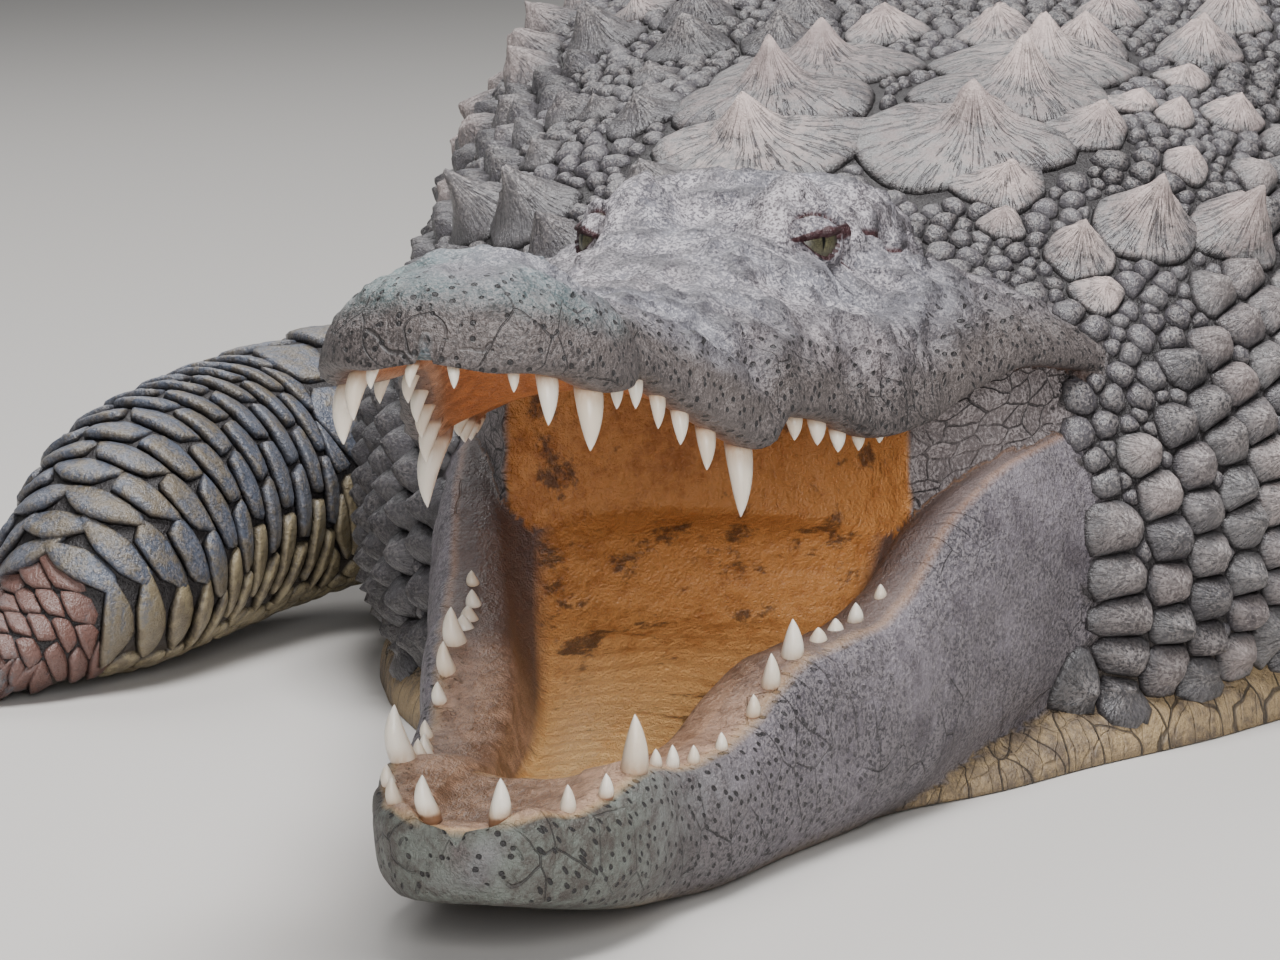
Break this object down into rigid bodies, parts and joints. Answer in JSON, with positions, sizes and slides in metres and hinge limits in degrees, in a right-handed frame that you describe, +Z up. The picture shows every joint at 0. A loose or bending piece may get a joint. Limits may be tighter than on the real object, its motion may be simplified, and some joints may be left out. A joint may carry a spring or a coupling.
{
  "type": "Nile crocodile, life-size still model",
  "caption": "Life-size still model of a large Nile crocodile lying on its belly with its jaws wide open.",
  "frame": {"origin": "on the floor, at the middle of the trunk's flat underside", "axes": "+X towards the snout along the head, neck and trunk, +Y to the animal's left, +Z up"},
  "size_m": [4.0669, 1.5253, 0.4319],
  "materials": {
    "hide": "dry grey horny scales with reddish dust",
    "belly": "smooth pale yellow scales",
    "mouth": "yellow to orange skin with dark blotches",
    "tooth": "ivory, stained brown at the root",
    "eye": "glossy olive with a slit pupil",
    "horn": "worn grey horn"
  },
  "bodies": {
    "root": {"skull": "hide", "lower_jaw": "hide", "cheeks": "mouth", "throat": "belly", "left_eye": "eye", "right_eye": "eye", "neck": "hide", "trunk": "hide", "tail_base": "hide", "tail_middle": "hide", "tail_end": "hide", "right_upper_arm": "hide", "right_forearm": "hide", "right_hand": "hide", "left_upper_arm": "hide", "left_forearm": "hide", "left_hand": "hide", "right_thigh": "hide", "right_shin": "hide", "right_foot": "hide", "left_thigh": "hide", "left_shin": "hide", "left_foot": "hide", "right_hand_claw_1": "horn", "right_hand_claw_2": "horn", "right_hand_claw_3": "horn", "left_hand_claw_1": "horn", "left_hand_claw_2": "horn", "left_hand_claw_3": "horn", "right_foot_claw_1": "horn", "right_foot_claw_2": "horn", "right_foot_claw_3": "horn", "left_foot_claw_1": "horn", "left_foot_claw_2": "horn", "left_foot_claw_3": "horn"}
  },
  "joints": []
}
